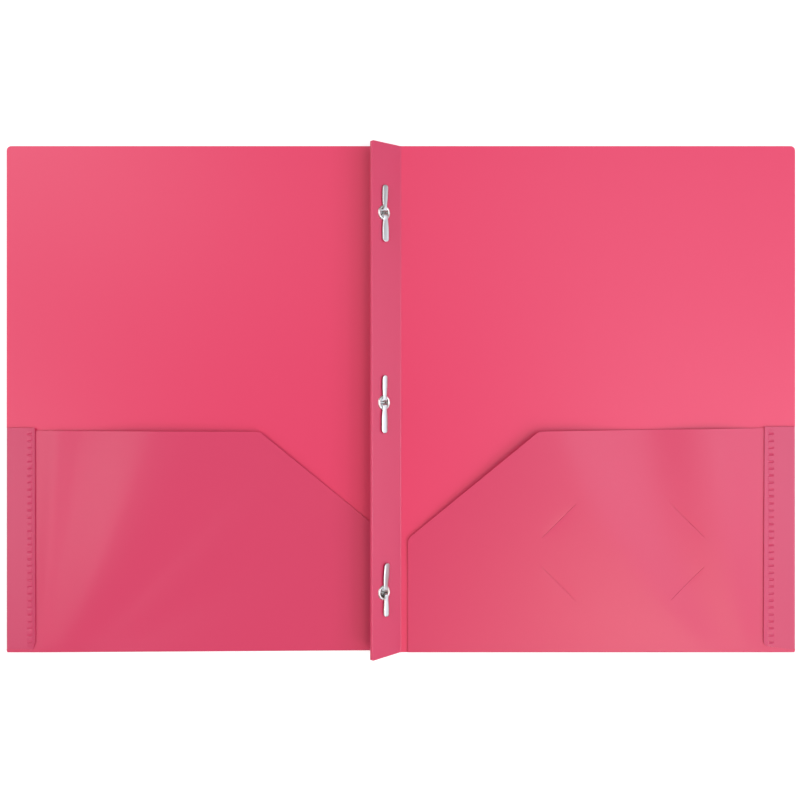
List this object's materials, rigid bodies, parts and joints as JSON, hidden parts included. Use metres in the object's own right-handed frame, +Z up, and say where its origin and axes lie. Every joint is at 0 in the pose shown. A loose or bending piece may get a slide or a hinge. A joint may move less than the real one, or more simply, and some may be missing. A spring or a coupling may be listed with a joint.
{
  "type": "two pocket folder",
  "caption": "Flexible plastic folder lying open, with a welded pocket inside each cover, card slits and a raised spine fin that carries bendable metal prong fasteners for punched paper.",
  "frame": {"origin": "middle of the open covers across and up, on the surface that they lie on", "axes": "+X across the open covers to the right, +Y along the spine to the top edge, +Z up off the table"},
  "size_m": [0.455, 0.2922, 0.0142],
  "materials": {
    "polypropylene_sheet": "satin coral pink, with a fine sand texture",
    "nickel_eyelet": "bright nickel plate",
    "tinplate_tang": "bright tinplate, lightly rolled"
  },
  "bodies": {
    "right_half": {"right_cover": "polypropylene_sheet", "right_pocket": "polypropylene_sheet", "right_side_flap": "polypropylene_sheet"},
    "spine": {"spine_fin": "polypropylene_sheet", "top_eyelet": "nickel_eyelet", "top_fastener_base": "tinplate_tang", "middle_eyelet": "nickel_eyelet", "middle_fastener_base": "tinplate_tang", "bottom_eyelet": "nickel_eyelet", "bottom_fastener_base": "tinplate_tang"},
    "left_half": {"left_cover": "polypropylene_sheet", "left_pocket": "polypropylene_sheet", "left_side_flap": "polypropylene_sheet"},
    "top_upper_prong": {"top_upper_prong": "tinplate_tang"},
    "top_lower_prong": {"top_lower_prong": "tinplate_tang"},
    "middle_upper_prong": {"middle_upper_prong": "tinplate_tang"},
    "middle_lower_prong": {"middle_lower_prong": "tinplate_tang"},
    "bottom_upper_prong": {"bottom_upper_prong": "tinplate_tang"},
    "bottom_lower_prong": {"bottom_lower_prong": "tinplate_tang"}
  },
  "joints": [
    {"name": "fin_fold", "type": "hinge", "parent": "right_half", "child": "spine", "pos_m": [0.0003, 0, 0.0017], "axis": [0, 1, 0], "range_deg": [0, 136]},
    {"name": "cover_fold", "type": "hinge", "parent": "spine", "child": "left_half", "pos_m": [-0.0037, 0, 0.0012], "axis": [0, 1, 0], "range_deg": [0, 37.5]},
    {"name": "top_upper_prong_bend", "type": "hinge", "parent": "spine", "child": "top_upper_prong", "pos_m": [-0.00901, 0.10655, 0.00959], "axis": [-0.7547, 0, 0.6561], "range_deg": [-85, 0]},
    {"name": "top_lower_prong_bend", "type": "hinge", "parent": "spine", "child": "top_lower_prong", "pos_m": [-0.00901, 0.10535, 0.00959], "axis": [0.7547, 0, -0.6561], "range_deg": [-85, 0]},
    {"name": "middle_upper_prong_bend", "type": "hinge", "parent": "spine", "child": "middle_upper_prong", "pos_m": [-0.00901, -0.0014, 0.00959], "axis": [-0.7547, 0, 0.6561], "range_deg": [-85, 0]},
    {"name": "middle_lower_prong_bend", "type": "hinge", "parent": "spine", "child": "middle_lower_prong", "pos_m": [-0.00901, -0.0026, 0.00959], "axis": [0.7547, 0, -0.6561], "range_deg": [-85, 0]},
    {"name": "bottom_upper_prong_bend", "type": "hinge", "parent": "spine", "child": "bottom_upper_prong", "pos_m": [-0.00901, -0.10935, 0.00959], "axis": [-0.7547, 0, 0.6561], "range_deg": [-85, 0]},
    {"name": "bottom_lower_prong_bend", "type": "hinge", "parent": "spine", "child": "bottom_lower_prong", "pos_m": [-0.00901, -0.11055, 0.00959], "axis": [0.7547, 0, -0.6561], "range_deg": [-85, 0]}
  ]
}
